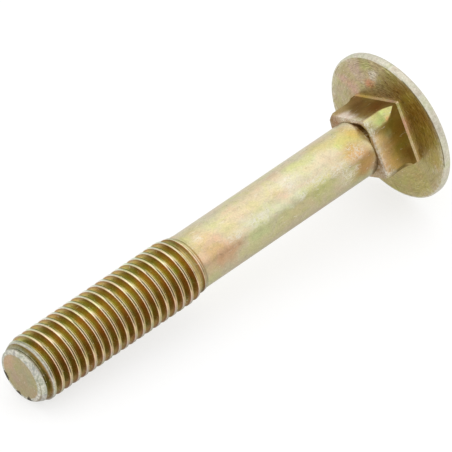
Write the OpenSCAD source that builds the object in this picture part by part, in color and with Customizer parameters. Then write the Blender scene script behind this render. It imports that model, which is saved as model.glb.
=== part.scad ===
// Round head square neck bolt, the low wide head that is sold as a truss head.
// It lies on a surface as it comes to rest: on the rim of its head and on the
// crest of its first full thread. The axis runs along X, with the head at +X.
// Sizes are in millimetres.

/* [Head] */
// Diameter of the head over its rim
head_d = 23.2; // [20:0.1:30]
// Height of the head from its seat to the top of the dome
head_height = 4.8; // [4:0.1:8]
// Height of the straight edge round the rim
rim_height = 1.1; // [0.8:0.1:2]
// Rounding of the rim towards the seat
rim_round = 0.25; // [0.1:0.05:0.35]
// Rounding of the rim towards the dome
dome_round = 0.5; // [0.2:0.05:0.8]

/* [Square neck] */
// Width of the neck across its flats
neck_width = 9.6; // [9.4:0.1:10.6]
// Depth of the neck below the seat
neck_depth = 6.15; // [5:0.1:8]
// Height of the bevel that joins the neck to the seat
bevel_height = 0.42; // [0.2:0.02:0.6]
// How far the bevel stands out from the flats at the seat
bevel_width = 0.1; // [0.06:0.02:0.4]
// How deep the round relief cuts into each corner of the square
relief_cut = 0.8; // [0.4:0.02:1.1]
// Radius of the curve that runs the relief out towards the seat
relief_run = 3.2; // [2:0.1:4]
// Distance from the seat to where the relief starts to run out
relief_start = 3.2; // [2.6:0.1:4]
// How far the end of the neck falls away towards its corners
end_fall = 0.3; // [0.1:0.05:0.6]
// Width of the groove round the shank in the end of the neck
groove_width = 0.35; // [0.2:0.05:0.4]
// Depth of the groove round the shank in the end of the neck
groove_depth = 0.4; // [0.1:0.05:0.6]
// Turn of the square about the shank, from a corner straight down
neck_turn = 22.5; // [0:0.5:45]

/* [Shank] */
// Length of the bolt below its head
bolt_length = 70; // [60:1:120]
// Diameter of the plain shank
shank_d = 8.55; // [8.2:0.05:9]

/* [Thread] */
// Diameter over the thread's crests
thread_d = 9.85; // [9.6:0.05:10]
// Distance from one crest to the next
thread_pitch = 1.5; // [1.25:0.05:1.5]
// Length of the thread with its run-out
thread_length = 31.5; // [20:0.5:50]
// Length over which the thread fades into the shank
run_out = 3; // [1.5:0.5:6]
// Distance from the end face to the first full crest
first_turn = 2.4; // [2.3:0.05:3.5]
// Diameter of the flat end face
point_d = 7.8; // [7:0.1:8.5]
// Length of the chamfer at the end
point_length = 2.2; // [0.8:0.1:2.2]
// Facets round one turn of the thread
thread_facets = 32; // [24:4:40]

/* [Hidden] */
$fn = 96;

head_r = head_d / 2;
shank_r = shank_d / 2;
thread_r = thread_d / 2;
point_r = point_d / 2;
neck_half = neck_width / 2;

// The dome is part of a sphere that passes through the top edge of the rim.
dome_rise = head_height - rim_height;
dome_r = (head_r * head_r + dome_rise * dome_rise) / (2 * dome_rise);
dome_centre = head_height - dome_r;

// A 60 degree thread: its flanks lie 30 degrees off a plane across the axis.
flank_angle = 30;
crest_flat = thread_pitch / 8;
root_flat = thread_pitch / 6;
flank_run = (thread_pitch - crest_flat - root_flat) / 2;
root_r = thread_r - flank_run / tan(flank_angle);
// The faded thread ends this much proud of the shank, at the middle of a facet.
fade_step = 0.03;
faded_r = (shank_r + fade_step) / cos(180 / thread_facets);
thread_top = thread_length - bolt_length;
// The shank reaches this far down inside the faded thread.
overlap = 0.05;
// Spare turns beyond each end, which the end planes cut off.
spare_turns = 2;

// At rest the bolt touches the surface at the rounding of the rim and at a facet
// of the first crest past the chamfer, and this angle lifts its head's end.
first_crest = -bolt_length + first_turn;
crest_low = thread_r * cos(180 / thread_facets);
reach = rim_round - first_crest;
drop = head_r - rim_round - crest_low;
rest_tilt = atan2(drop, reach) + asin(rim_round / norm([drop, reach]));
// Lowest point, and the two ends along X, of the tilted bolt.
rest_low = first_crest * sin(rest_tilt) - crest_low * cos(rest_tilt);
rest_tip = -bolt_length * cos(rest_tilt) - point_r * sin(rest_tilt);
rest_top = dome_centre * cos(rest_tilt) + dome_r;

// Takes the corner off a profile outside a circle, between two directions.
module corner_off(centre, r, from, to) {
    reach = 2 * r;
    translate(centre)
        difference() {
            polygon([
                [0, 0],
                reach * [cos(from), sin(from)],
                reach * 1.4 * [cos((from + to) / 2), sin((from + to) / 2)],
                reach * [cos(to), sin(to)],
            ]);
            circle(r);
        }
}

// Half section of the head: its seat lies on z = 0 and its dome is on top.
module head_profile() {
    edge_x = head_r - dome_round;
    edge_y = dome_centre + sqrt(pow(dome_r - dome_round, 2) - edge_x * edge_x);
    dome_angle = atan2(edge_y - dome_centre, edge_x);
    difference() {
        intersection() {
            translate([0, dome_centre])
                circle(dome_r);
            square([head_r, head_height + 1]);
        }
        corner_off([head_r - rim_round, rim_round], rim_round, -90, 0);
        corner_off([edge_x, edge_y], dome_round, 0, dome_angle);
    }
}

module head() {
    rotate_extrude()
        head_profile();
}

// What is left of the neck's blank inside its round relief: straight near the
// end of the neck, and flaring past the square's corners towards the seat.
module relief_profile() {
    relief_r = neck_half * sqrt(2) - relief_cut;
    outer = relief_r + relief_run;
    difference() {
        polygon([
            [0, 1],
            [outer, 1],
            [outer, -relief_start],
            [relief_r, -relief_start],
            [relief_r, -neck_depth + end_fall],
            [shank_r + groove_width, -neck_depth],
            [shank_r - groove_width, -neck_depth + 2 * groove_depth],
            [0, -neck_depth + 2 * groove_depth],
        ]);
        translate([outer, -relief_start])
            circle(relief_run);
    }
}

// Four-sided bevel: it widens towards the seat and runs on inside the head.
module seat_bevel() {
    slope = bevel_width / bevel_height;
    above = rim_height / 2;
    rotate(45)
        translate([0, 0, -2 * bevel_height])
            cylinder(
                h = 2 * bevel_height + above,
                r1 = (neck_half - bevel_width) * sqrt(2),
                r2 = (neck_half + bevel_width + above * slope) * sqrt(2),
                $fn = 4
            );
}

module neck() {
    intersection() {
        translate([-neck_half, -neck_half, -neck_depth])
            cube([neck_width, neck_width, neck_depth + rim_height / 2]);
        rotate_extrude()
            relief_profile();
    }
    seat_bevel();
}

module shank() {
    translate([0, 0, thread_top - overlap])
        cylinder(h = overlap - thread_top, r = shank_r);
}

// Share of the full thread height at a height z on the bolt.
function thread_share(z) = max(0, min(1, (thread_top - z) / run_out));

// The four corners of one thread, as [height from its middle, share of depth].
thread_corners = [
    [-crest_flat / 2 - flank_run, 0],
    [-crest_flat / 2, 1],
    [crest_flat / 2, 1],
    [crest_flat / 2 + flank_run, 0],
];

// One point of the thread's surface: corner k, after i steps along the helix.
function thread_point(i, k, start) =
    let (
        turn = (i + 0.5) / thread_facets,
        angle = 360 * turn,
        z = start + thread_pitch * turn + thread_corners[k][0],
        share = thread_share(z),
        full_r = thread_corners[k][1] == 1 ? thread_r : root_r,
        r = faded_r + (full_r - faded_r) * share
    )
    [r * cos(angle), r * sin(angle), z];

// A right-hand helical ribbon of thread, closed by a fan to the axis at each end.
module thread_body(start, turns) {
    corners = len(thread_corners);
    last = turns * thread_facets;
    points = concat(
        [for (i = [0:last]) for (k = [0:corners - 1]) thread_point(i, k, start)],
        [[0, 0, start], [0, 0, start + turns * thread_pitch]]
    );
    function at(i, k) = i * corners + k;
    // Corner 3 of one turn meets corner 0 of the turn above it.
    function above(i, k) = k < corners - 1 ? at(i, k + 1) : at(i + thread_facets, 0);
    bands = [
        for (k = [0:corners - 1])
            for (i = [0:last - 1 - (k < corners - 1 ? 0 : thread_facets)])
                for (half = [0, 1])
                    half == 0
                        ? [at(i, k), above(i, k), above(i + 1, k)]
                        : [at(i, k), above(i + 1, k), at(i + 1, k)]
    ];
    lower_rim = concat(
        [for (i = [0:thread_facets]) at(i, 0)],
        [for (k = [corners - 1:-1:1]) at(0, k)]
    );
    upper_rim = concat(
        [for (i = [last - thread_facets:last]) at(i, corners - 1)],
        [for (k = [corners - 2:-1:0]) at(last, k)]
    );
    lower_centre = len(points) - 2;
    upper_centre = len(points) - 1;
    lower_fan = [
        for (j = [0:len(lower_rim) - 1])
            [lower_centre, lower_rim[j], lower_rim[(j + 1) % len(lower_rim)]]
    ];
    upper_fan = [
        for (j = [0:len(upper_rim) - 1])
            [upper_centre, upper_rim[(j + 1) % len(upper_rim)], upper_rim[j]]
    ];
    polyhedron(points, concat(bands, lower_fan, upper_fan));
}

// The chamfered bar that the thread is cut from, wider than the crests.
module thread_limits() {
    chamfer_slope = (thread_r - point_r) / point_length;
    outside = thread_r + 1;
    rotate_extrude()
        polygon([
            [0, -bolt_length],
            [point_r, -bolt_length],
            [outside, -bolt_length + (outside - point_r) / chamfer_slope],
            [outside, thread_top],
            [0, thread_top],
        ]);
}

module thread() {
    start = first_crest - thread_pitch * (spare_turns + 1);
    turns = ceil(thread_length / thread_pitch) + 2 * spare_turns + 2;
    intersection() {
        thread_body(start, turns);
        thread_limits();
    }
}

// The bolt in its own axes: the seat on z = 0, the dome above, the point below.
module upright_bolt() {
    head();
    rotate(neck_turn + 45)
        neck();
    shank();
    thread();
}

module carriage_bolt() {
    color("#c9b26a")
        translate([-(rest_tip + rest_top) / 2, 0, -rest_low])
            rotate([0, 90 - rest_tilt, 0])
                upright_bolt();
}

carriage_bolt();
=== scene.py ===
import math

import bpy
import numpy as np
from mathutils import Matrix, Vector


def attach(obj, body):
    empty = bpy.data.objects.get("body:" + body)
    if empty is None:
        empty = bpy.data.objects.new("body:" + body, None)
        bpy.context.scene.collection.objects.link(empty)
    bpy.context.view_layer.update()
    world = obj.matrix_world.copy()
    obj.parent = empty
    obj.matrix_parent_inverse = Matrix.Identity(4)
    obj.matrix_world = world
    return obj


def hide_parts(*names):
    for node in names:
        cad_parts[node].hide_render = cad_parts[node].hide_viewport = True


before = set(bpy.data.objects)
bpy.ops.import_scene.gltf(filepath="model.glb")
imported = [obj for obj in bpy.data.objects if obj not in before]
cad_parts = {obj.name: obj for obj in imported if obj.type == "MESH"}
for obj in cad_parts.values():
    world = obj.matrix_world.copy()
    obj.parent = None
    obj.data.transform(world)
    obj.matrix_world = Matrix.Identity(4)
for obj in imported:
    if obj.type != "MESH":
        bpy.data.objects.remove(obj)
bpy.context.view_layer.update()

MM = 0.001

# Sizes of the bolt in its own axes, in millimetres: the seat of the head on
# z = 0, the dome above it and the point below. Angles round the axis are in
# degrees: 0 is straight down at rest, 180 is up and the camera looks at 221.

# The solids' sizes that decide how the bolt lies.
SOLID_HEAD_R = 11.6
SOLID_HEAD_H = 4.8
SOLID_THREAD_R = 4.925
SOLID_FACETS = 32
BOLT_LENGTH = 70.0
FIRST_TURN = 2.4
RIM_H = 1.1
RIM_ROUND = 0.25
POINT_R = 3.9

# The skin's ends and rim lie a hair inside the solids.
INSIDE = 0.001
HEAD_R = SOLID_HEAD_R - INSIDE
HEAD_H = SOLID_HEAD_H - 2 * INSIDE
TIP = INSIDE - BOLT_LENGTH
DOME_ROUND = 0.5

NECK_HALF = 4.8
NECK_END = -6.15
NECK_CORNER = 22.5
END_FALL = 0.3
BEVEL_H = 0.42
BEVEL_W = 0.1
RELIEF_CUT = 0.8
RELIEF_R = NECK_HALF * math.sqrt(2) - RELIEF_CUT
RELIEF_RUN = 3.2
RELIEF_START = -3.2

# The end of the neck: the gap round the shank where it is shut and how much
# wider it is in the hollow, and the rounding of the neck's edges along the bolt.
GAP_SHUT = 0.03
HOLLOW_W = 1.12
HOLLOW_SIDE = 204
ROUND_LONG = 1.3

# The crests lie just inside the facets of the solids' thread.
SHANK_R = 4.275
CREST_R = 4.894
ROOT_R = 4.005
PITCH = 1.5
FIRST_CREST = TIP + FIRST_TURN
THREAD_TOP = -38.5
RUN_OUT = 3.0
# The last groove, counted from the first crest, and how far its level part
# stands proud of the shank.
LAST_GROOVE = 17
LEVEL_RISE = 0.06
# The side on which the crests' fold is open.
FOLD_SIDE = 231

# The chamfer of the point: how much wider it is than the end face where it
# starts, how fast it widens, how far it was pressed off the axis and to which
# side, how high it takes to get uneven, and how far up it reaches.
POINT_STEP = 0.05
POINT_SLOPE = 0.466
POINT_SHIFT = 0.1
POINT_SIDE = 311
POINT_EVEN = 0.4
POINT_REACH = 4.0
# The edge between the thread and the chamfer: how much is off it, and how near
# to it the surface has to be.
BLUNT = 0.02
BLUNT_REACH = 0.08

# Columns of points round the bolt.
COLUMNS = 144
QUARTER = COLUMNS // 4
EVEN = np.arange(COLUMNS) * 2 * math.pi / COLUMNS

# Lengths shorter than this count as none.
TOUCH = 1e-6


def sphere_radius(r, rise):
    """Radius of the sphere whose cap is r wide and rises so far."""
    return (r**2 + rise**2) / (2 * rise)


DOME_R = sphere_radius(HEAD_R, HEAD_H - RIM_H)
DOME_C = HEAD_H - DOME_R


def rest_place():
    """Tilt of the bolt at rest and the place of the middle of its seat.

    It lies on the rounding of its rim and on a facet of its first full crest,
    and the middle of its box is on x = 0.
    """
    first_crest = FIRST_TURN - BOLT_LENGTH
    crest_low = SOLID_THREAD_R * math.cos(math.pi / SOLID_FACETS)
    reach = RIM_ROUND - first_crest
    drop = SOLID_HEAD_R - RIM_ROUND - crest_low
    tilt = math.atan2(drop, reach) + math.asin(RIM_ROUND / math.hypot(drop, reach))
    lowest = first_crest * math.sin(tilt) - crest_low * math.cos(tilt)
    dome_r = sphere_radius(SOLID_HEAD_R, SOLID_HEAD_H - RIM_H)
    tip_x = -BOLT_LENGTH * math.cos(tilt) - POINT_R * math.sin(tilt)
    top_x = (SOLID_HEAD_H - dome_r) * math.cos(tilt) + dome_r
    return tilt, np.array([-(tip_x + top_x) / 2, 0.0, -lowest])


# Half a pitch of the rolled thread, from the middle of a crest to the middle of
# the root: height above the crest's middle, radius and depth of the fine fold
# that rolling leaves along the crest.
HALF_THREAD = [
    (0.0, CREST_R - 0.01, 0.13),
    (0.07, CREST_R - 0.01, 0.1),
    (0.13, CREST_R - 0.005, 0.02),
    (0.185, CREST_R, 0.0),
    (0.23, CREST_R - 0.035, 0.0),
    (0.265, CREST_R - 0.13, 0.0),
    (0.365, 4.56, 0.0),
    (0.48, 4.33, 0.0),
    (0.6, 4.09, 0.0),
    (0.67, 4.025, 0.0),
    (0.75, ROOT_R, 0.0),
]
THREAD = HALF_THREAD + [(PITCH - z, r, fold) for z, r, fold in HALF_THREAD[-2:0:-1]]
THREAD_Z, THREAD_R, THREAD_FOLD = np.array(THREAD).T


def smooth(value, low, high):
    """0 at low and 1 at high, and smooth between."""
    t = np.clip((value - low) / (high - low), 0, 1)
    return t * t * (3 - 2 * t)


def smooth_angle(theta, low, high):
    """The same for an angle, between two sides in degrees."""
    return smooth(np.degrees(theta), low, high)


def facing(theta, side):
    """1 on the given side of the bolt, -1 on the other, and a cosine between."""
    return np.cos(theta - math.radians(side))


def mixed(first, second, share):
    """The first value with a share of the second mixed in."""
    return first * (1 - share) + second * share


class Skin:
    """The bolt's surface, built as rings of points from the point to the dome."""

    def __init__(self):
        self.points = []
        self.zones = []
        self.faces = []
        self.last = None
        self.zone = "tip"

    def add(self, x, y, z, zones=None):
        """Adds points, in the current zone where zones doesn't say another."""
        first = len(self.points)
        self.points.extend(zip(x, y, z))
        count = len(self.points) - first
        self.zones.extend([self.zone] * count if zones is None else zones)
        return np.arange(first, len(self.points))

    def join(self, ring):
        """Joins a ring to the last one with a band of four-sided faces."""
        if self.last is not None:
            low, high = self.last, ring
            for j in range(COLUMNS):
                k = (j + 1) % COLUMNS
                self.faces.append((low[j], low[k], high[k], high[j]))
        self.last = ring

    def ring(self, theta, r, z, zones=None):
        theta = np.broadcast_to(theta, COLUMNS)
        r = np.broadcast_to(r, COLUMNS)
        z = np.broadcast_to(z, COLUMNS)
        self.join(self.add(r * np.cos(theta), r * np.sin(theta), z, zones))

    def start(self, z):
        self.points.append((0.0, 0.0, z))
        self.zones.append(self.zone)

    def fan_start(self):
        """Joins the first ring to the point that the skin started with."""
        for j in range(COLUMNS):
            self.faces.append((0, self.last[(j + 1) % COLUMNS], self.last[j]))

    def fan_end(self, z):
        """Closes the skin at a point on the axis."""
        self.points.append((0.0, 0.0, z))
        self.zones.append(self.zone)
        end = len(self.points) - 1
        for j in range(COLUMNS):
            self.faces.append((self.last[j], self.last[(j + 1) % COLUMNS], end))


def thread_phase(z, theta):
    """Height above the middle of the crest below, from 0 to one pitch."""
    return (z - FIRST_CREST - PITCH * theta / (2 * math.pi)) % PITCH


def thread_radius(z, theta):
    """Radius of the thread before its point is cut and its end fades."""
    heights = np.append(THREAD_Z, PITCH)
    radii = np.append(THREAD_R, THREAD_R[0])
    return np.interp(thread_phase(z, theta), heights, radii)


def folded(z, theta):
    """How open the crest's fold is: it closes twice in each turn."""
    wander = 0.12 * np.sin(0.9 * z)
    return smooth(np.abs(facing(theta + wander, FOLD_SIDE)), 0.78, 0.93)


def point_radius(z, theta):
    """Radius of the point's chamfer, which is dented and off the axis past its edge."""
    h = z - TIP
    dents = 0.022 * np.sin(3 * theta + 0.6) + 0.016 * np.sin(7 * theta + 2.0)
    uneven = (POINT_SHIFT * facing(theta, POINT_SIDE) + dents) * np.clip(h / POINT_EVEN, 0, 1)
    return POINT_R + POINT_STEP + POINT_SLOPE * h + uneven


def level_share(z, theta):
    """Where the last groove was left almost level, on its side towards the point."""
    around = theta % (2 * math.pi)
    phase = thread_phase(z, theta)
    turn = np.round((z - FIRST_CREST - phase) / PITCH - around / (2 * math.pi))
    side = smooth_angle(around, 150, 215) * smooth_angle(around, 350, 325)
    return (turn == LAST_GROOVE) * side * smooth(phase, 0.12, 0.3) * smooth(phase, 1.08, 0.78)


def bolt_radius(z, theta, full):
    """Radius of the bolt in its thread, where full is the whole thread's radius."""
    share = np.clip((THREAD_TOP - z) / RUN_OUT, 0, 1)
    share = np.where(full < SHANK_R, np.sqrt(share), share)
    r = SHANK_R + (full - SHANK_R) * share
    r = r + (SHANK_R + LEVEL_RISE - r) * level_share(z, theta)
    # Where the chamfer cuts the thread, the edge is blunt.
    cut = point_radius(z, theta)
    gap = np.clip((cut - r) / BLUNT_REACH, -1, 1)
    blunt = BLUNT * (1 - gap * gap)
    return np.where(z < TIP + POINT_REACH, np.minimum(r, cut) - blunt, r)


def add_thread(skin):
    """Rows of points along the helix, between a ring near the tip and the shank."""
    skin.zone = "thread"
    low_z = TIP + 0.12
    low_r = bolt_radius(np.full(COLUMNS, low_z), EVEN, thread_radius(low_z, EVEN))
    skin.ring(EVEN, low_r, low_z)
    low = skin.last

    # Spare turns cover both ends.
    spare = 3
    levels = len(THREAD)
    turns = int(math.ceil((THREAD_TOP - low_z) / PITCH)) + spare + 1
    rows = turns * levels
    base = FIRST_CREST + PITCH * (np.arange(turns)[:, None] - spare) + THREAD_Z
    z = base.reshape(rows, 1) + PITCH * EVEN / (2 * math.pi)
    theta = np.broadcast_to(EVEN, z.shape)
    full = np.tile(THREAD_R, turns)[:, None] - np.tile(THREAD_FOLD, turns)[:, None] * folded(z, theta)
    r = bolt_radius(z, theta, full)
    x, y = r * np.cos(theta), r * np.sin(theta)

    # Points beyond an end are replaced by the ring that closes it.
    inside = (z > low_z + TOUCH) & (z < THREAD_TOP - TOUCH)
    index = np.full(z.shape, -1)
    index[inside] = skin.add(x[inside], y[inside], z[inside])
    high = skin.add(SHANK_R * np.cos(EVEN), SHANK_R * np.sin(EVEN), np.full(COLUMNS, THREAD_TOP))
    index = np.where(z <= low_z + TOUCH, low, index)
    index = np.where(index < 0, high, index)

    # The last column meets the first one a turn higher.
    above = np.vstack([index[levels:, :1], np.full((levels, 1), high[0])])
    index = np.hstack([index, above])
    for k in range(rows - 1):
        for j in range(COLUMNS):
            corners = (index[k, j], index[k, j + 1], index[k + 1, j + 1], index[k + 1, j])
            kept = [c for i, c in enumerate(corners) if c != corners[i - 1]]
            if len(set(kept)) >= 3 and len(set(kept)) == len(kept):
                skin.faces.append(tuple(kept))
    skin.last = high


def relief_radius(z):
    """Radius of the round relief at the neck's corners, at a height z."""
    if z <= RELIEF_START:
        return RELIEF_R
    gap = RELIEF_RUN**2 - (z - RELIEF_START) ** 2
    return RELIEF_R + RELIEF_RUN - math.sqrt(max(gap, 0.0))


# Where each column lies in its quarter: -1 and 1 are the corners of the square.
COLUMN_STEP = 360 / COLUMNS
SHIFTED = np.arange(COLUMNS) - int(NECK_CORNER / COLUMN_STEP)
QUARTER_OF = SHIFTED // QUARTER
SHARE = ((SHIFTED % QUARTER) - QUARTER / 2) / (QUARTER / 2)
FLAT_COLUMNS = 14
FLAT_SHARE = FLAT_COLUMNS / (QUARTER / 2)
ON_FLAT = np.abs(SHARE) <= FLAT_SHARE
NECK_ZONES = np.where(ON_FLAT, "flat", "leaf").tolist()
# The blow that formed the neck left its corners unequal, up to this height.
CORNER_OF = (QUARTER_OF + (SHARE > 0)) % 4
CORNER_MORE = np.array([0.0, 0.22, 0.0, 0.2])[CORNER_OF]
EDGE_LESS = np.where((CORNER_OF == 2) & (SHARE < 0), 0.34, 0.0)
UNEQUAL_TOP = -1.1
# The square's sharp corners are broken by this much.
CORNER_OFF = 0.06


def neck_outline(half, z):
    """Angle and radius of each column on the square with its round reliefs."""
    limit = half * math.sqrt(2) - CORNER_OFF
    low_down = 1 - smooth(z, RELIEF_START - 0.2, UNEQUAL_TOP)
    corner_r = np.minimum(relief_radius(z) + CORNER_MORE * low_down, limit)
    edge_r = np.minimum(relief_radius(z) + (CORNER_MORE - EDGE_LESS) * low_down, limit)
    edge = np.arccos(half / edge_r)
    side = np.abs(SHARE)
    flat_angle = np.arctan(np.tan(edge) * side / FLAT_SHARE)
    past = (side - FLAT_SHARE) / (1 - FLAT_SHARE)
    leaf_angle = edge + (math.pi / 4 - edge) * past
    leaf_r = edge_r + (corner_r - edge_r) * np.sqrt(np.clip(past, 0, 1))
    angle = np.where(ON_FLAT, flat_angle, leaf_angle)
    r = np.where(ON_FLAT, half / np.cos(angle), leaf_r)
    middle = math.radians(NECK_CORNER + 45) + QUARTER_OF * math.pi / 2
    return middle + np.sign(SHARE) * angle, r


def opening(theta):
    """How open the gap round the shank is, in the end of the neck.

    It closes over 38 degrees on one side of its middle and 27 on the other.
    """
    side = (theta - math.radians(HOLLOW_SIDE) + math.pi) % (2 * math.pi) - math.pi
    reach = np.where(side < 0, math.radians(38), math.radians(27))
    return smooth(np.abs(side), reach, 0.08)


def turned_to(theta, share):
    """Even columns, turned by a share towards the neck's columns."""
    return mixed(EVEN, theta, share)


def add_neck(skin):
    """The end of the neck with its hollow, the flats and the bevel, up to the seat."""
    theta, outer = neck_outline(NECK_HALF, NECK_END)
    corner = np.clip((outer - NECK_HALF) / (RELIEF_R - NECK_HALF), 0, 1)
    # The gap round the shank is open on one side and nearly shut elsewhere.
    gap = GAP_SHUT + HOLLOW_W * opening(theta)
    depth = 0.02 + 0.5 * gap
    skin.ring(turned_to(theta, 0.25), SHANK_R, NECK_END - 0.04)
    skin.zone = "groove"
    skin.ring(turned_to(theta, 0.25), SHANK_R, NECK_END - 0.015)
    skin.ring(turned_to(theta, 0.25), SHANK_R, NECK_END + depth + 0.02)
    for t in (0.12, 0.5, 0.88):
        z = NECK_END + depth * (1 - t) ** 1.2
        skin.ring(turned_to(theta, 0.4 + 0.2 * t), SHANK_R + gap * t, z)

    skin.zone = "end"
    groove_r = SHANK_R + gap
    slope = END_FALL / (RELIEF_R - SHANK_R - 0.3)
    blunt = 0.3 + 0.14 * corner
    flat_edge = outer - blunt
    for t in (0.0, 0.5, 1.0):
        r = groove_r + (flat_edge - groove_r) * t
        skin.ring(turned_to(theta, 0.5 + 0.5 * t), r, NECK_END + slope * (r - groove_r))
    foot = NECK_END + slope * (flat_edge - groove_r)
    long = ROUND_LONG - 0.6 * corner
    steps = 8
    for step in range(1, steps + 1):
        a = step / steps * math.pi / 2
        r = flat_edge + blunt * math.sin(a)
        skin.ring(theta, r, foot + long * (1 - math.cos(a)), NECK_ZONES if step > 3 else None)

    skin.zone = "flat"
    flat_start = NECK_END + 1.75
    leaf_top = -1.15
    for z in np.linspace(flat_start, -BEVEL_H, 35):
        theta, r = neck_outline(NECK_HALF, z)
        skin.ring(theta, r, z, NECK_ZONES if z < leaf_top else None)

    skin.zone = "bevel"
    for t in (0.08, 0.5, 0.92):
        theta, r = neck_outline(NECK_HALF + BEVEL_W * t, 0.0)
        skin.ring(theta, r, -BEVEL_H * (1 - t))
    skin.zone = "seat"
    theta, r = neck_outline(NECK_HALF + BEVEL_W, 0.0)
    skin.ring(theta, r, 0.0)
    return theta, r


def add_head(skin, theta, outline):
    """The seat, from the neck's outline to even rings, then the rim and the dome."""
    round_r = 7.6
    for t in (0.05, 0.15, 0.3, 0.5, 0.75):
        skin.ring(turned_to(theta, 1 - t), mixed(outline, round_r, t), 0.0)
    for r in np.linspace(round_r, HEAD_R - RIM_ROUND - 0.05, 12):
        skin.ring(EVEN, r, 0.0)

    skin.zone = "rim"
    steps = 6
    for step in range(steps + 1):
        a = step / steps * math.pi / 2
        r = HEAD_R - RIM_ROUND * (1 - math.sin(a))
        skin.ring(EVEN, r, RIM_ROUND * (1 - math.cos(a)))
    edge_x = HEAD_R - DOME_ROUND
    edge_z = DOME_C + math.sqrt((DOME_R - DOME_ROUND) ** 2 - edge_x**2)
    for z in (0.4, 0.6, edge_z):
        skin.ring(EVEN, HEAD_R, z)
    slope = math.atan2(edge_z - DOME_C, edge_x)
    steps = 8
    for step in range(1, steps + 1):
        a = slope * step / steps
        skin.ring(EVEN, edge_x + DOME_ROUND * math.cos(a), edge_z + DOME_ROUND * math.sin(a))

    skin.zone = "dome"
    first = math.acos((edge_x + DOME_ROUND * math.cos(slope)) / DOME_R)
    steps = 26
    for step in range(1, steps):
        a = first + (math.pi / 2 - first) * step / steps
        skin.ring(EVEN, DOME_R * math.cos(a), DOME_C + DOME_R * math.sin(a))
    skin.fan_end(HEAD_H)


def tone(red, green, blue):
    """A colour as it looks on a screen, 0 to 255, as linear values."""
    return np.array([((c / 255 + 0.055) / 1.055) ** 2.4 for c in (red, green, blue)])


# The colour where nothing else marks it, by the part it is on: the chromate film's colour, with
# painted shade and highlight on some parts, as noted below.
FILM = {
    "tip": tone(176, 161, 122),
    "thread": tone(160, 130, 60),
    "shank": tone(229, 217, 178),
    # The groove's dark colour is painted shade in the hollow.
    "groove": tone(142, 112, 46),
    "end": tone(176, 150, 112),
    # The flats' darker colour is partly the film's and partly painted shade.
    "flat": tone(174, 150, 92),
    "leaf": tone(222, 216, 150),
    # The bevel's near white is partly the film's colour and partly a painted highlight.
    "bevel": tone(255, 236, 190),
    # The seat's darker colour is partly the film's and partly painted shade.
    "seat": tone(186, 172, 126),
    "rim": tone(206, 202, 180),
    "dome": tone(226, 212, 168),
}

# Colours of single marks: the level part of the last groove, the metal that shows on the chamfer, the
# shank's edge at the hollow, which is partly worn and partly a painted highlight, the line where seat
# and rim meet, the edge of the end face and the chips in it.
LEVEL_FILM = tone(200, 178, 118)
CUT_METAL = tone(172, 174, 166)
PALE_EDGE = tone(240, 218, 162)
RIM_LINE = tone(128, 118, 88)
TIP_EDGE = tone(170, 171, 162)
CHIP_DARK = tone(74, 66, 48)

# How strongly the colour changes on the thread, for all of its colour or for its red, green and blue:
# the film's drift along the grooves, then the painted shade in the root on the lower side, the
# darkening over the first turns, and the painted shade at the shallow ends, in the open fold and on
# its darker line.
DRIFT = np.array([0.03, -0.027, -0.048])
ROOT_SHADE = 0.28
FIRST_TURNS_SHADE = np.array([0.14, 0.1, 0.1])
SHALLOW_SHADE = np.array([0.85, 0.9, 1.0])
FOLD_SHADE = 0.72
FAR_LINE_SHADE = 0.78 * np.array([1.0, 0.95, 1.15])

# How far the film is worn off each part.
WORN = {"rim": 0.75, "end": 0.3, "tip": 0.12, "bevel": 0.1}

# Colours across one pitch of the thread, from a crest towards the head: the fold, the crest's edge,
# the far flank, the root and the flank that faces the point. The bright line from 1.27 to 1.37 is a
# painted highlight on the next crest, and the dark band before it, from 1.18, is painted shade.
ACROSS = [
    (0.0, tone(222, 214, 170)),
    (0.07, tone(224, 216, 170)),
    (0.13, tone(222, 212, 166)),
    (0.185, tone(230, 222, 176)),
    (0.23, tone(212, 202, 148)),
    (0.265, tone(178, 154, 90)),
    (0.4, tone(198, 160, 82)),
    (0.62, tone(178, 162, 78)),
    (0.76, tone(182, 164, 80)),
    (0.9, tone(194, 166, 82)),
    (1.06, tone(200, 160, 80)),
    (1.18, tone(174, 124, 64)),
    (1.235, tone(168, 124, 74)),
    (1.27, tone(246, 222, 184)),
    (1.315, tone(255, 249, 226)),
    (1.37, tone(252, 240, 208)),
    (1.43, tone(224, 212, 168)),
    (1.5, tone(222, 214, 170)),
]

# Painted light and shade round the thread, with shifts of the film's hue, as factors by side: the
# angle, the factors on its flanks and those on its crests.
AROUND_PAINTED_LIGHT = [
    (0, (0.9, 0.95, 0.95), (0.8, 0.8, 0.8)),
    (60, (1.0, 0.95, 0.9), (0.95, 0.95, 0.95)),
    (95, (1.0, 1.05, 1.2), (1.0, 1.0, 1.0)),
    (120, (1.1, 1.26, 1.6), (1.06, 1.2, 1.45)),
    (137, (1.2, 1.58, 2.2), (1.14, 1.36, 1.85)),
    (157, (1.02, 1.33, 2.05), (0.77, 0.87, 0.9)),
    (175, (0.8, 1.0, 1.1), (0.82, 0.8, 0.7)),
    (197, (1.1, 1.24, 1.5), (1.2, 1.18, 1.16)),
    (221, (1.1, 1.24, 1.45), (1.16, 1.1, 1.1)),
    (245, (0.88, 0.86, 1.1), (0.9, 0.78, 0.7)),
    (268, (0.73, 0.78, 0.85), (0.86, 0.74, 0.66)),
    (285, (0.7, 0.76, 0.85), (0.68, 0.64, 0.7)),
    (300, (0.66, 0.74, 0.85), (0.56, 0.56, 0.62)),
    (330, (0.8, 0.85, 0.9), (0.6, 0.6, 0.64)),
    (360, (0.9, 0.95, 0.95), (0.8, 0.8, 0.8)),
]
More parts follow.
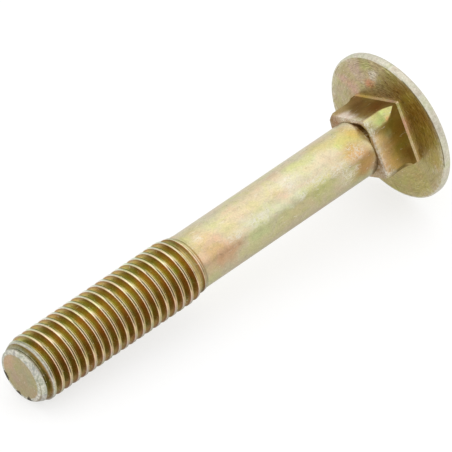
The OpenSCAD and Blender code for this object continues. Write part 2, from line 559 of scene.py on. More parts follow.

# Patches of another colour: most are where the film took another colour, and some, as noted below,
# are painted shade or a painted highlight. The columns: the parts they are on, the place as angle,
# radius and height, how wide and how much longer along the bolt they are, the colour, and how
# strongly it shows.
PATCHES = [
    ("shank", 178, 4.3, -38.0, 2.6, 1.2, tone(222, 214, 158), 0.8),
    ("shank", 215, 4.3, -37.0, 2.4, 1.5, tone(240, 206, 170), 0.8),
    ("shank", 246, 4.3, -36.0, 2.4, 1.8, tone(218, 180, 138), 0.8),
    ("shank", 172, 4.3, -32.5, 2.6, 1.5, tone(226, 223, 178), 0.7),
    ("shank", 205, 4.3, -30.0, 2.6, 1.8, tone(240, 220, 182), 0.7),
    ("shank", 226, 4.3, -27.5, 1.8, 2.6, tone(230, 228, 198), 0.7),
    ("shank", 175, 4.3, -25.0, 2.8, 1.8, tone(234, 220, 182), 0.7),
    ("shank", 250, 4.3, -27.5, 2.2, 2.2, tone(220, 216, 174), 0.7),
    ("shank", 200, 4.3, -20.5, 2.4, 1.6, tone(242, 234, 210), 0.6),
    ("shank", 184, 4.3, -16.5, 2.4, 1.8, tone(228, 226, 172), 0.8),
    ("shank", 213, 4.3, -22.6, 1.6, 1.2, tone(238, 210, 176), 0.7),
    ("shank", 256, 4.3, -22.0, 1.8, 2.0, tone(224, 208, 166), 0.7),
    ("shank", 252, 4.3, -17.0, 2.2, 1.9, tone(212, 208, 150), 0.8),
    ("shank", 175, 4.3, -12.0, 2.4, 1.6, tone(224, 222, 156), 0.8),
    ("shank", 190, 4.3, -8.2, 2.2, 1.2, tone(230, 214, 146), 0.85),
    ("shank", 222, 4.3, -9.4, 2.2, 1.2, tone(232, 186, 126), 0.85),
    ("shank", 262, 4.3, -8.4, 2.4, 1.1, tone(200, 156, 94), 0.9),
    ("shank", 202, 4.3, -6.9, 1.5, 1.0, tone(224, 186, 104), 0.65),
    ("shank", 235, 4.3, -14.0, 1.6, 1.6, tone(232, 216, 172), 0.6),
    ("shank", 231, 4.3, -22.5, 1.5, 2.4, tone(226, 230, 190), 0.65),
    ("shank", 204, 4.3, -14.0, 1.6, 2.4, tone(240, 234, 204), 0.55),
    ("shank", 60, 4.3, -14.0, 3.0, 2.0, tone(236, 208, 168), 0.6),
    ("shank", 30, 4.3, -26.0, 3.0, 2.2, tone(220, 218, 166), 0.7),
    ("shank", 95, 4.3, -33.0, 3.0, 1.8, tone(234, 204, 166), 0.6),
    ("shank", 110, 4.3, -20.0, 3.0, 2.0, tone(224, 220, 164), 0.6),
    ("shank", 330, 4.3, -20.0, 3.0, 2.2, tone(216, 192, 146), 0.7),
    ("seat", 99, 10.8, 0, 3.0, 1, tone(196, 186, 154), 0.7),
    ("seat", 137, 9.6, 0, 2.4, 1, tone(202, 176, 160), 0.75),
    ("seat", 115, 10.2, 0, 1.2, 1, tone(208, 178, 160), 0.8),
    ("seat", 114, 7.6, 0, 1.7, 1, tone(208, 172, 154), 0.75),
    ("seat", 153, 7.5, 0, 1.1, 1, tone(216, 146, 112), 0.85),
    ("seat", 162, 8.6, 0, 1.2, 1, tone(220, 206, 184), 0.7),
    ("seat", 155, 11.0, 0, 1.6, 1, tone(168, 168, 104), 0.7),
    # From here to the patch at 276 degrees, the seat's darker olive colours are partly the film's
    # colour and partly painted shade.
    ("seat", 187, 10.6, 0, 1.8, 1, tone(166, 160, 84), 0.85),
    ("seat", 178, 8.0, 0, 1.8, 1, tone(178, 160, 104), 0.8),
    ("seat", 200, 8.8, 0, 3.0, 1, tone(176, 152, 84), 1.0),
    ("seat", 228, 8.6, 0, 3.6, 1, tone(180, 156, 82), 1.0),
    ("seat", 252, 8.6, 0, 3.0, 1, tone(186, 170, 94), 1.0),
    ("seat", 280, 6.9, 0, 1.1, 1, tone(160, 144, 84), 0.85),
    ("seat", 276, 9.4, 0, 2.0, 1, tone(182, 164, 92), 0.9),
    ("seat", 325, 8.4, 0, 4.0, 1, tone(190, 178, 116), 1.0),
    ("seat", 355, 10.8, 0, 3.0, 1, tone(184, 174, 116), 0.9),
    # The bevel's patches are the film's tints, and their near white brightness is a painted
    # highlight.
    ("bevel", 130, 6.6, 0, 2.6, 1, tone(255, 226, 136), 0.95),
    ("bevel", 192, 6.8, 0, 1.7, 1, tone(255, 224, 204), 0.95),
    ("bevel", 212, 6.8, 0, 1.3, 1, tone(222, 222, 140), 0.95),
    ("bevel", 246, 5.4, 0, 2.3, 1, tone(255, 200, 172), 0.95),
    ("bevel", 272, 6.2, 0, 1.2, 1, tone(206, 200, 104), 0.95),
    ("bevel", 290, 6.8, 0, 0.9, 1, tone(236, 190, 120), 0.9),
    # Of the flats' patches, the dark ones at 180, 150, 152, 240 and 262 degrees and the one at 283
    # degrees by the seat are painted shade.
    ("flat", 180, 5.2, -1.4, 2.4, 1, tone(152, 112, 50), 1.0),
    ("flat", 150, 5.2, -2.6, 1.6, 1, tone(144, 116, 58), 1.0),
    ("flat", 152, 5.2, -4.2, 1.7, 1, tone(144, 116, 58), 0.9),
    ("flat", 146, 5.2, -5.7, 1.8, 1, tone(234, 212, 190), 1.0),
    ("flat", 178, 5.2, -5.5, 1.4, 1, tone(198, 188, 138), 0.9),
    ("flat", 240, 5.2, -1.2, 2.6, 1, tone(156, 128, 64), 1.0),
    ("flat", 262, 5.2, -2.6, 1.8, 1, tone(164, 142, 74), 0.9),
    ("flat", 235, 5.2, -5.6, 1.8, 1, tone(226, 192, 138), 1.0),
    ("flat", 268, 5.2, -5.2, 2.2, 1, tone(214, 176, 120), 1.0),
    ("flat", 283, 5.2, -3.4, 1.3, 1, tone(222, 178, 108), 0.5),
    ("flat", 283, 5.4, -0.9, 1.2, 1, tone(140, 92, 30), 0.6),
    ("leaf", 196, 5.9, -1.2, 1.2, 1, tone(220, 208, 130), 0.9),
    ("leaf", 205, 5.9, -3.0, 1.1, 1, tone(214, 232, 150), 0.9),
    ("leaf", 215, 5.9, -3.2, 0.7, 1, tone(238, 204, 150), 0.9),
    ("leaf", 217, 6.2, -2.2, 0.8, 2.0, tone(250, 196, 128), 0.9),
    ("leaf", 292, 5.9, -3.4, 3.4, 1, tone(170, 146, 88), 1.0),
    # The end face's dark patches at 118 and 278 degrees are painted shade.
    ("end", 118, 5.2, -6.1, 2.0, 1, tone(148, 106, 54), 1.0),
    ("end", 278, 5.2, -6.1, 2.6, 1, tone(140, 108, 62), 1.0),
    ("leaf", 205, 6.0, -5.4, 1.3, 1, tone(166, 158, 94), 0.9),
    ("end", 207, 5.6, -6.1, 1.4, 1, tone(160, 148, 92), 0.9),
    ("flat", 233, 5.0, -3.6, 0.9, 1, tone(190, 190, 160), 0.35),
    ("dome", 40, 6.5, 3.4, 4.5, 1, tone(236, 204, 168), 0.6),
    ("dome", 150, 7.0, 3.2, 4.0, 1, tone(212, 218, 156), 0.65),
    ("dome", 275, 6.5, 3.4, 4.2, 1, tone(238, 212, 188), 0.6),
    ("dome", 215, 3.5, 4.4, 3.0, 1, tone(226, 218, 146), 0.6),
    ("dome", 330, 9.0, 2.3, 3.0, 1, tone(214, 216, 164), 0.6),
    ("tip", 120, 3.2, -70, 2.4, 1, tone(200, 164, 136), 0.85),
    ("tip", 250, 2.0, -70, 1.5, 1, tone(168, 162, 124), 0.9),
    ("tip", 30, 1.6, -70, 1.2, 1, tone(180, 156, 132), 0.8),
    ("shank", 143, 4.3, -33.0, 2.0, 5.0, tone(226, 218, 192), 0.75),
    ("shank", 143, 4.3, -16.0, 2.0, 5.0, tone(228, 220, 194), 0.75),
]

# Angles of the small dark chips in the edge of the end face, and their size.
CHIPS = (57, 66, 13, 338)
CHIP_SIZE = 0.55

# Where handling left pale scuffs: angle, radius, height, width and stretch.
SCUFFS = [
    (222, 4.3, -9.4, 1.7, 1.3),
    (240, 4.3, -13.0, 1.7, 1.6),
    (202, 4.3, -20.2, 1.4, 1.6),
    (224, 4.3, -17.0, 1.3, 1.8),
    (236, 4.3, -20.5, 1.1, 1.2),
    (224, 4.3, -28.0, 1.3, 2.6),
    (226, 4.3, -33.0, 1.0, 2.2),
    (196, 4.3, -37.0, 1.1, 1.0),
    (262, 4.3, -11.4, 1.3, 1.4),
    (206, 6.1, -5.7, 1.9, 1.0),
    (176, 5.1, -6.0, 1.4, 1.0),
    (150, 5.2, -5.4, 1.6, 1.0),
    (246, 5.0, -5.6, 1.1, 1.0),
    (244, 5.4, -6.1, 0.9, 1.0),
    (287, 5.6, -5.9, 1.0, 1.0),
    (292, 5.9, -5.2, 1.3, 1.0),
    (160, 8.6, 0.0, 1.3, 1.0),
    (286, 9.6, 0.0, 0.9, 1.0),
    (40, 9.0, 2.2, 2.0, 1.0),
    (250, 5.0, 4.1, 2.4, 1.0),
]

# Painted light and shade round the shank, as factors on the film's colour: a painted highlight near
# 230 degrees, and painted shade near 170 degrees and on the lower side from 246 to 318 degrees. The
# angle and the factor.
ROUND_SHANK_PAINTED_LIGHT = [
    (0, 1.0),
    (142, 1.0),
    (165, 0.91),
    (180, 0.93),
    (200, 1.0),
    (212, 1.02),
    (230, 1.12),
    (238, 1.0),
    (246, 0.845),
    (260, 0.78),
    (270, 0.75),
    (318, 0.75),
    (352, 1.0),
    (360, 1.0),
]


def colours_at(value, stops):
    """Colours between the stops of a table of values and colours."""
    places = [place for place, _ in stops]
    return np.stack([np.interp(value, places, [c[i] for _, c in stops]) for i in range(3)], 1)


def far_from(points, angle, r, z, size, stretch):
    """Distance of each point to a patch's middle, as a share of the patch's size."""
    a = math.radians(angle)
    gap = points - np.array([r * math.cos(a), r * math.sin(a), z])
    gap[:, 2] /= stretch
    return np.linalg.norm(gap, axis=1) / size


def wavy(local):
    """The points moved by waves of three lengths, which gives the patches wavy edges."""
    one, other = local[:, [1, 2, 0]], local[:, [2, 0, 1]]
    wave = 0.45 * np.sin(1.1 * one + 0.7) + 0.22 * np.sin(2.7 * other + 2.1)
    return local + wave + 0.11 * np.sin(5.9 * one + 1.3)


def thread_tint_and_painted_light(z, theta, phase, deep):
    """Factors on the colours across the thread, by the place along and round it: the film's drift,
    and painted light and shade.
    """
    angle = np.degrees(theta)
    flanks = colours_at(angle, [(a, flank) for a, flank, _ in AROUND_PAINTED_LIGHT])
    crests = colours_at(angle, [(a, crest) for a, _, crest in AROUND_PAINTED_LIGHT])
    tint = mixed(crests, flanks, deep)

    # Along each turn the film in the groove drifts between green and orange.
    turn_of = np.floor((z - FIRST_CREST - PITCH * theta / (2 * math.pi)) / PITCH)
    drift = np.sin(5 * theta + 2.4 * turn_of) + 0.8 * np.sin(11 * theta - 1.3 * turn_of + 1)
    tint *= 1 + DRIFT * drift[:, None] * deep

    # The root is painted darker on the lower side, as shade, and the flanks are painted darker at the
    # ends, as shade, where the thread is too shallow for one flank to mirror the other. The flanks
    # are also darker over the first turns.
    low_side = smooth_angle(theta, 200, 240)
    root = smooth(phase, 0.4, 0.6) * smooth(phase, 0.95, 0.8)
    tint *= (1 - ROOT_SHADE * low_side * root)[:, None]
    first_turns = smooth(z, TIP + 9, TIP + 4)[:, None]
    tint *= 1 - FIRST_TURNS_SHADE * first_turns * deep
    shallow = smooth(z, THREAD_TOP - 2.6, THREAD_TOP - 1.6) + smooth(z, TIP + 2.3, TIP + 1.8)
    shallow *= 0.6 - 0.26 * low_side
    tint *= 1 - SHALLOW_SHADE * shallow[:, None] * deep

    # The open fold is a dark line of painted shade between two bright ones. It was pressed shut on
    # the crest below the last groove. On the far side, where it is closed, the line towards the head
    # is painted darker, as shade.
    fold = np.abs((phase + PITCH / 2 - 0.02) % PITCH - PITCH / 2)
    last_crest = FIRST_CREST + PITCH * (LAST_GROOVE + theta / (2 * math.pi))
    pressed = (np.abs(z - last_crest) < 0.4) * smooth_angle(theta, 150, 180)
    open_fold = folded(z, theta) * (1 - 0.8 * pressed)
    tint *= (1 - FOLD_SHADE * smooth(fold, 0.11, 0.05) * open_fold)[:, None]
    line = smooth(phase, 0.3, 0.2) * smooth(phase, 0.0, 0.08)
    shaded_line = line * smooth(facing(theta, 173), 0.86, 0.98)
    return tint * (1 - FAR_LINE_SHADE * shaded_line[:, None])


def thread_film(z, theta):
    """The film's colour on the thread, and how far its point is worn to pale metal."""
    phase = thread_phase(z, theta)
    deep = smooth(thread_radius(z, theta), CREST_R - 0.12, CREST_R - 0.3)[:, None]
    colour = colours_at(phase, ACROSS) * thread_tint_and_painted_light(z, theta, phase, deep)
    colour = mixed(colour, LEVEL_FILM, 0.8 * level_share(z, theta)[:, None])
    fade = smooth(z, THREAD_TOP - 1.3, THREAD_TOP - 0.05)[:, None]
    colour = mixed(colour, FILM["shank"], fade)
    ridge = smooth(phase, 1.24, 1.28) * smooth(phase, 1.47, 1.41)
    cut = (smooth(z, TIP + 3.1, TIP + 2.3) * (0.35 + 0.65 * ridge))[:, None] * (1 - deep)
    cut = np.maximum(cut, smooth(z, TIP + 1.3, TIP + 0.8)[:, None] * (1 - 0.6 * deep))
    return mixed(colour, CUT_METAL, cut), cut[:, 0]


def shank_painted_light(z, theta):
    """The painted light and shade round the shank, as factors, along slightly wavy lines."""
    waved = np.degrees(theta) + 2.0 * np.sin(0.55 * z + 1) + 1.1 * np.sin(1.7 * z)
    angles, factors = zip(*ROUND_SHANK_PAINTED_LIGHT)
    return np.interp(waved, angles, factors)


def film_colour(points, zones, z, theta, threaded):
    """The film's colour at each point, with its patches."""
    colour = np.stack([FILM[name] for name in zones])
    # The hollow round the shank is painted dark, as shade, and lighter, like the end face, where its
    # gap is shut.
    groove = zones == "groove"
    shut = (1 - opening(theta[groove]))[:, None]
    colour[groove] += (FILM["end"] - FILM["groove"]) * 0.8 * shut
    thread = zones == "thread"
    colour[thread] = threaded[thread]
    # The last turn of the run-out is coloured like the shank.
    plain = (zones == "shank") | (thread & (z > THREAD_TOP - PITCH))
    # The shank and the last turn take the painted light and shade round the shank, and so do the
    # shank's patches.
    shade = shank_painted_light(z, theta)[:, None]
    colour[plain] *= shade[plain]
    for zone, angle, r, height, size, stretch, patch, strength in PATCHES:
        on = plain if zone == "shank" else zones == zone
        if zone == "shank":
            patch = patch * shade[on]
        near = far_from(points[on], angle, r, height, size, stretch)
        weight = (strength * (1 - smooth(near, 0.35, 1.25)))[:, None]
        colour[on] = mixed(colour[on], patch, weight)
    # The shank has a pale edge where the hollow in the neck's end starts: partly worn film and partly
    # a painted highlight.
    edge = (zones == "shank") & (z > NECK_END - 0.1)
    pale = 0.6 * opening(theta[edge])[:, None]
    colour[edge] = mixed(colour[edge], PALE_EDGE, pale)
    return colour


def scuffing(points):
    """How scuffed the film is at each point."""
    scuffed = np.zeros(len(points))
    for angle, r, height, size, stretch in SCUFFS:
        near = far_from(points, angle, r, height, size, stretch)
        scuffed = np.maximum(scuffed, 1 - smooth(near, 0.3, 1.2))
    return scuffed


def wearing(zones, z, theta, radius, cut):
    """How far the film is worn off at each point: most on the edges."""
    wear = np.array([WORN.get(name, 0.0) for name in zones])
    thread = zones == "thread"
    wear[thread] = 0.8 * cut[thread]
    rim = zones == "rim"
    spared = smooth(facing(theta[rim], 290), 0.6, 0.95)
    wear[rim] *= 1 - 0.4 * spared
    seat = zones == "seat"
    near_rim = smooth(radius[seat], 10.2, 11.4)
    uneven = 0.55 - 0.45 * np.cos(2 * (theta[seat] - math.radians(185)))
    wear[seat] = 0.75 * near_rim * uneven
    neck = np.isin(zones, ("flat", "leaf", "end"))
    arris = smooth(z, NECK_END + 1.3, NECK_END + 0.3) * smooth(z, NECK_END - 0.1, NECK_END + 0.2)
    near_side = smooth(facing(theta, 212), -0.2, 0.5)
    wear[neck] = np.maximum(wear, (0.2 + 0.45 * near_side) * arris)[neck]
    return wear


def mark_edges(colour, wear, zones, local, theta, radius):
    """The dark line where seat and rim meet, and the end face's bright edge and chips."""
    x, y, z = local.T
    line = (zones == "rim") & (z < 0.06) & (facing(theta, 236) > 0.8)
    colour[line] = RIM_LINE
    wear[line] = 0.1
    tip_edge = (zones == "tip") & (radius > POINT_R - 0.35)
    colour[tip_edge] = TIP_EDGE
    wear[tip_edge] = 0.95
    for angle in CHIPS:
        a = math.radians(angle)
        away = np.hypot(x - POINT_R * math.cos(a), y - POINT_R * math.sin(a))
        chip = (away < CHIP_SIZE) & (z < TIP + 0.3)
        colour[chip] = CHIP_DARK
        wear[chip] = 0


def paint(local, zones):
    """The film's colour, the scuffing and the wear at each point of the surface."""
    x, y, z = local.T
    theta = np.arctan2(y, x) % (2 * math.pi)
    radius = np.hypot(x, y)
    points = wavy(local)
    threaded, cut = thread_film(z, theta)
    colour = film_colour(points, zones, z, theta, threaded)
    wear = wearing(zones, z, theta, radius, cut)
    mark_edges(colour, wear, zones, local, theta, radius)
    return colour, scuffing(points), wear


def seat_marks(local, zones):
    """A space stretched along circles round the axis, and how marked the seat is in it."""
    x, y, z = local.T
    radius = np.maximum(np.hypot(x, y), TOUCH)
    along, across = 7.0, 4.2
    sweep = np.stack([x / radius * along, y / radius * along, radius * across], 1)
    turned = 0.45 + 0.55 * smooth(facing(np.arctan2(y, x), 205), 0.1, 0.8)
    return sweep, np.where(zones == "seat", turned, 0.0)


def bolt_skin():
    """The upright bolt's surface, from its end face to the top of its dome."""
    skin = Skin()
    skin.start(TIP)
    skin.ring(EVEN, 0.4, TIP)
    skin.fan_start()
    for r in (0.8, 1.2, 1.6, 2.0, 2.4, 2.8, 3.1, 3.4, 3.6, 3.74, POINT_R - 0.08):
        skin.ring(EVEN, r, TIP)
    skin.ring(EVEN, POINT_R - 0.02, TIP + 0.02)
    skin.ring(EVEN, POINT_R + 0.02, TIP + 0.06)
    add_thread(skin)
    skin.zone = "shank"
    theta, _ = neck_outline(NECK_HALF, NECK_END)
    for t in np.linspace(0, 1, 83)[1:-1]:
        skin.ring(turned_to(theta, 0.25 * t), SHANK_R, mixed(THREAD_TOP, NECK_END, t))
    theta, outline = add_neck(skin)
    add_head(skin, theta, outline)
    return skin


def at_rest(local):
    """The points of the upright bolt, moved to where it lies."""
    tilt, origin = rest_place()
    lift = math.pi / 2 - tilt
    x, y, z = local.T
    along = x * math.cos(lift) + z * math.sin(lift)
    height = z * math.cos(lift) - x * math.sin(lift)
    return origin + np.stack([along, y, height], 1)


def add_layer(mesh, name, kind, field, values):
    """Stores a value for each point, which the material reads by its name."""
    layer = mesh.attributes.new(name, kind, "POINT")
    layer.data.foreach_set(field, values.astype(np.float32).ravel())


def build_bolt():
    """The bolt as one closed mesh at rest, with what its material needs to know."""
    skin = bolt_skin()
    local, zones = np.array(skin.points, float), np.array(skin.zones)
    mesh = bpy.data.meshes.new("bolt")
    faces = [tuple(map(int, face)) for face in skin.faces]
    mesh.from_pydata((at_rest(local) * MM).tolist(), [], faces)
    mesh.polygons.foreach_set("use_smooth", [True] * len(mesh.polygons))
    mesh.set_sharp_from_angle(angle=math.radians(34))
    colour, scuffed, wear = paint(local, zones)
    sweep, turned = seat_marks(local, zones)
    opaque = np.concatenate([colour, np.ones((len(colour), 1))], 1)
    add_layer(mesh, "place", "FLOAT_VECTOR", "vector", local)
    add_layer(mesh, "film", "FLOAT_COLOR", "color", opaque)
    add_layer(mesh, "sweep", "FLOAT_VECTOR", "vector", sweep)
    add_layer(mesh, "scuffed", "FLOAT", "value", scuffed)
    add_layer(mesh, "wear", "FLOAT", "value", wear)
    add_layer(mesh, "turned", "FLOAT", "value", turned)
    piece = bpy.data.objects.new("plated_bolt", mesh)
    bpy.context.scene.collection.objects.link(piece)
    return piece


class Nodes:
    """Short names for the nodes of one material or world."""

    def __init__(self, owner):
        owner.use_nodes = True
        self.tree = owner.node_tree

    def node(self, kind, **settings):
        n = self.tree.nodes.new(kind)
        for key, value in settings.items():
            setattr(n, key, value)
        return n

    def feed(self, socket, value):
        if isinstance(value, bpy.types.NodeSocket):
            self.tree.links.new(value, socket)
        else:
            socket.default_value = value

    def attribute(self, name, output):
        return self.node("ShaderNodeAttribute", attribute_name=name).outputs[output]

    def math(self, operation, a, b=0.0):
        n = self.node("ShaderNodeMath", operation=operation)
        self.feed(n.inputs[0], a)
        self.feed(n.inputs[1], b)
        return n.outputs[0]

    def times(self, a, b):
        return self.math("MULTIPLY", a, b)

    def larger(self, a, b):
        return self.math("MAXIMUM", a, b)

    def stretch(self, vector, scale=(1, 1, 1), shift=(0, 0, 0), turn=(0, 0, 0)):
        n = self.node("ShaderNodeMapping")
        self.feed(n.inputs["Vector"], vector)
        n.inputs["Scale"].default_value = scale
        n.inputs["Location"].default_value = shift
        n.inputs["Rotation"].default_value = turn
        return n.outputs["Vector"]

    def noise(self, vector, scale, detail, rough, twist=0.0):
        n = self.node("ShaderNodeTexNoise", noise_dimensions="3D")
        self.feed(n.inputs["Vector"], vector)
        n.inputs["Scale"].default_value = scale
        n.inputs["Detail"].default_value = detail
        n.inputs["Roughness"].default_value = rough
        n.inputs["Distortion"].default_value = twist
        return n.outputs["Fac"]

    def range(self, value, low, high, to_low=0.0, to_high=1.0, kind="SMOOTHSTEP"):
        n = self.node("ShaderNodeMapRange", interpolation_type=kind)
        self.feed(n.inputs["Value"], value)
        limits = {"From Min": low, "From Max": high, "To Min": to_low, "To Max": to_high}
        for name, number in limits.items():
            self.feed(n.inputs[name], number)
        return n.outputs["Result"]

    def ramp(self, value, stops):
        n = self.node("ShaderNodeValToRGB")
        self.feed(n.inputs["Fac"], value)
        elements = n.color_ramp.elements
        while len(elements) < len(stops):
            elements.new(0.5)
        for element, (position, colour) in zip(elements, stops):
            element.position = position
            element.color = (*colour, 1)
        return n.outputs["Color"]

    def grey(self, value):
        return self.ramp(value, [(0, (0, 0, 0)), (1, (1, 1, 1))])

    def mix(self, factor, a, b, kind="MIX"):
        n = self.node("ShaderNodeMix", data_type="RGBA", blend_type=kind, clamp_factor=True)
        self.feed(n.inputs[0], factor)
        self.feed(n.inputs[6], a)
        self.feed(n.inputs[7], b)
        return n.outputs[2]

    def tint(self, factor, colour, other):
        return self.mix(factor, colour, (*other, 1))


# Clouds of colour in the chromate film, from green over yellow to pink, as
# factors on the film's own colour.
CLOUD_HUES = [
    (0.3, (0.9, 1.02, 0.8)),
    (0.42, (1.0, 1.02, 0.86)),
    (0.5, (1.0, 1.0, 1.0)),
    (0.6, (1.05, 0.96, 0.98)),
    (0.72, (1.04, 0.9, 0.86)),
]

BRIGHT_ZINC = tone(240, 236, 220)
DARK_ARC = tone(96, 72, 34)
PALE_ARC = tone(226, 216, 164)
PIT = tone(120, 104, 70)
# How dark the metal's mirror gets where it is seen at a low angle.
EDGE_MIRROR = 0.78


def bright_zinc(f, place):
    """Where the film is off: scuffs, scratches, thin lines and worn edges."""
    scuffed = f.attribute("scuffed", "Fac")
    wear = f.attribute("wear", "Fac")

    # Pale scuffs where the bolt was handled.
    marks = f.noise(f.stretch(place, (1, 1, 0.5), (2, 5, 3), (0.6, 0.4, 0.5)), 2.6, 5, 0.72, 1.2)
    bare = f.times(f.times(f.range(marks, 0.47, 0.6), scuffed), 0.75)

    # Fine curled scratches in the scuffs, broken off here and there.
    curl = f.noise(f.stretch(place, (1, 1, 0.7), (5, 2, 6), (0.4, 0.2, 0.9)), 1.15, 2, 0.55, 1.6)
    ridge = f.math("ABSOLUTE", f.math("SUBTRACT", curl, 0.5))
    broken = f.range(f.noise(f.stretch(place, shift=(3, 8, 2)), 1.1, 1, 0.5), 0.4, 0.48)
    scratch = f.times(f.times(f.range(ridge, 0.034, 0.014), broken), scuffed)

    # Thin pale lines everywhere.
    lines = f.noise(f.stretch(place, (1, 1, 0.25), (4, 1, 8), (0.3, 0.5, 0.2)), 3.0, 3, 0.6, 0.8)
    thin = f.times(f.range(lines, 0.62, 0.7), 0.5)

    # Edges worn down to the bright zinc, mottled.
    worn = f.times(f.range(f.noise(place, 1.8, 4, 0.7), 0.7, 0.36), wear)
    mottled = f.range(f.noise(f.stretch(place, shift=(6, 1, 9)), 3.4, 2, 0.6), 0.4, 0.55)
    worn = f.times(worn, f.range(mottled, 0.0, 1.0, 0.45, 1.0, "LINEAR"))
    return f.larger(f.larger(bare, thin), f.larger(scratch, worn))


def zinc():
    """Steel plated with zinc under a yellow chromate film."""
    material = bpy.data.materials.new("yellow_zinc")
    f = Nodes(material)
    shader = f.tree.nodes["Principled BSDF"]
    place = f.attribute("place", "Vector")

    # The film's colour with its clouds and lighter and darker spots.
    clouds = f.noise(f.stretch(place, (1, 1, 0.6)), 0.42, 4, 0.6, 0.6)
    colour = f.mix(0.85, f.attribute("film", "Color"), f.ramp(clouds, CLOUD_HUES), "MULTIPLY")
    spots = f.noise(f.stretch(place, (1, 1, 0.8), (7, 3, 1)), 1.3, 3, 0.6, 0.4)
    spot_shade = f.grey(f.range(spots, 0.3, 0.7, 0.86, 1.1, "LINEAR"))
    colour = f.mix(1.0, colour, spot_shade, "MULTIPLY")

    # The grain of the plating.
    grain = f.noise(place, 4.6, 3, 0.7)
    grain_shade = f.grey(f.range(grain, 0.34, 0.66, 0.8, 1.0, "LINEAR"))
    colour = f.mix(0.85, colour, grain_shade, "MULTIPLY")

    bright = bright_zinc(f, place)
    colour = f.tint(f.times(bright, 0.85), colour, BRIGHT_ZINC)

    # Fine light and dark marks round the seat.
    turned = f.attribute("turned", "Fac")
    arcs = f.noise(f.attribute("sweep", "Vector"), 1.0, 3, 0.65, 1.1)
    dark_arcs = f.times(f.range(arcs, 0.5, 0.36), turned)
    colour = f.tint(f.times(dark_arcs, 0.6), colour, DARK_ARC)
    pale_arcs = f.times(f.range(arcs, 0.55, 0.68), turned)
    colour = f.tint(f.times(pale_arcs, 0.6), colour, PALE_ARC)

    # Small dark pits.
    pits = f.range(f.noise(f.stretch(place, shift=(9, 9, 9)), 3.2, 2, 0.5), 0.26, 0.2)
    colour = f.tint(f.times(pits, 0.45), colour, PIT)

    f.feed(shader.inputs["Base Color"], colour)
    shader.inputs["Metallic"].default_value = 1.0
    shader.inputs["Specular Tint"].default_value = (EDGE_MIRROR, EDGE_MIRROR, EDGE_MIRROR, 1)
    rough = f.range(spots, 0.3, 0.7, 0.27, 0.37, "LINEAR")
    f.feed(shader.inputs["Roughness"], f.math("ADD", rough, f.times(bright, 0.12)))

    # The surface rises with the grain, soft swells and the marks round the seat,
    # and is a little lower where the film is off.
    bump = f.node("ShaderNodeBump")
    bump.inputs["Strength"].default_value = 0.35
    bump.inputs["Distance"].default_value = 0.04 * MM
    rise = f.math("ADD", f.times(grain, 0.5), f.noise(place, 1.1, 3, 0.6))
    rise = f.math("ADD", rise, f.times(f.times(arcs, turned), 3.0))
    f.feed(bump.inputs["Height"], f.math("ADD", rise, f.times(bright, -0.4)))
    f.feed(shader.inputs["Normal"], bump.outputs["Normal"])
    return material


bolt = build_bolt()
bolt.data.materials.append(zinc())
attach(bolt, "root")
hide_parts("carriage_bolt")


# How far the floor runs each way, in metres, enough to fill every view, and how
# far it lies under the bolt.
FLOOR_HALF = 3.0
FLOOR_DROP = 0.05 * MM
# What looks at the floor sees this share of it as even white light of this
# strength, so that the shadow on it is faint.
GLOW_SHARE = 0.62
GLOW = 1.1


def pale_floor():
    """A matt white floor whose shadow is faint."""
    material = bpy.data.materials.new("pale_floor")
    f = Nodes(material)
    shader = f.tree.nodes["Principled BSDF"]
    shader.inputs["Base Color"].default_value = (0.96, 0.96, 0.96, 1)
    shader.inputs["Roughness"].default_value = 1.0
    shader.inputs["Specular IOR Level"].default_value = 0.0
    glow = f.node("ShaderNodeEmission")
    glow.inputs["Strength"].default_value = GLOW
    seen = f.node("ShaderNodeLightPath").outputs
    mirrored = f.larger(seen["Is Glossy Ray"], seen["Is Transmission Ray"])
    looking = f.larger(seen["Is Camera Ray"], mirrored)
    both = f.node("ShaderNodeMixShader")
    f.feed(both.inputs[0], f.times(looking, GLOW_SHARE))
    f.feed(both.inputs[1], shader.outputs["BSDF"])
    f.feed(both.inputs[2], glow.outputs["Emission"])
    f.feed(f.tree.nodes["Material Output"].inputs["Surface"], both.outputs["Shader"])
    return material


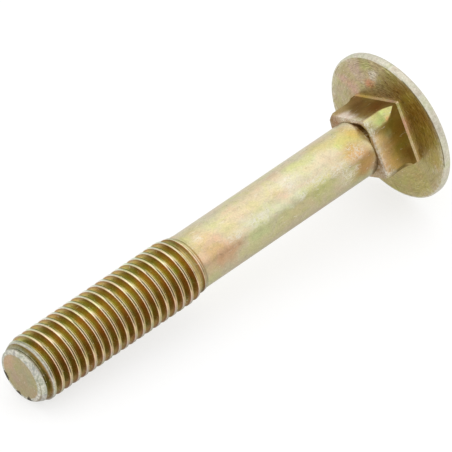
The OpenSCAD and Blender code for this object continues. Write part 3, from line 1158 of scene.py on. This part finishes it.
def build_floor():
    corners = [(-1, -1), (1, -1), (1, 1), (-1, 1)]
    points = [(x * FLOOR_HALF, y * FLOOR_HALF, -FLOOR_DROP) for x, y in corners]
    mesh = bpy.data.meshes.new("floor")
    mesh.from_pydata(points, [], [(0, 1, 2, 3)])
    mesh.materials.append(pale_floor())
    piece = bpy.data.objects.new("floor", mesh)
    bpy.context.scene.collection.objects.link(piece)
    return piece


floor = build_floor()


# How much dimmer the studio's surround is low down on the near side.
DIM = 0.3
KEY_PLACE = Vector((0.2, 0.3, 0.8))


def light_studio():
    """An even white surround, dimmer low down on the near side, and one soft lamp."""
    world = bpy.data.worlds.new("studio")
    bpy.context.scene.world = world
    studio = Nodes(world)
    parts = studio.node("ShaderNodeSeparateXYZ")
    way = studio.node("ShaderNodeTexCoord").outputs["Generated"]
    studio.feed(parts.inputs["Vector"], way)
    near = studio.range(parts.outputs["Y"], -0.3, -0.7)
    low = studio.range(parts.outputs["Z"], 0.26, 0.12)
    dim = studio.times(studio.times(near, low), DIM)
    surround = studio.tree.nodes["Background"]
    surround.inputs["Color"].default_value = (1, 1, 1, 1)
    studio.feed(surround.inputs["Strength"], studio.math("SUBTRACT", 1.0, dim))

    lamp = bpy.data.lights.new("key", "AREA")
    lamp.shape = "DISK"
    lamp.size = 1.2
    lamp.energy = 0.7
    key = bpy.data.objects.new("key", lamp)
    bpy.context.scene.collection.objects.link(key)
    key.location = KEY_PLACE
    key.rotation_euler = (-KEY_PLACE).to_track_quat("-Z", "Y").to_euler()


light_studio()


def place_camera():
    """The camera at the photograph's place: its axes, position and lens come from a fit."""
    camera = bpy.data.objects.new("camera", bpy.data.cameras.new("camera"))
    bpy.context.scene.collection.objects.link(camera)
    right = Vector((0.7319934, -0.6813117, 0.0))
    up = Vector((0.4183012, 0.4494180, 0.7893336))
    ahead = Vector((0.5377823, 0.5777870, -0.6139645))
    pose = Matrix((right, up, -ahead)).transposed().to_4x4()
    pose.translation = Vector((-428.01053, -461.15989, 500.42124)) * MM
    camera.matrix_world = pose
    camera.data.sensor_width = 36
    camera.data.lens = 456.07
    camera.data.clip_start = 0.05
    camera.data.clip_end = 20
    bpy.context.scene.camera = camera


place_camera()

bpy.context.scene.view_settings.view_transform = "Standard"
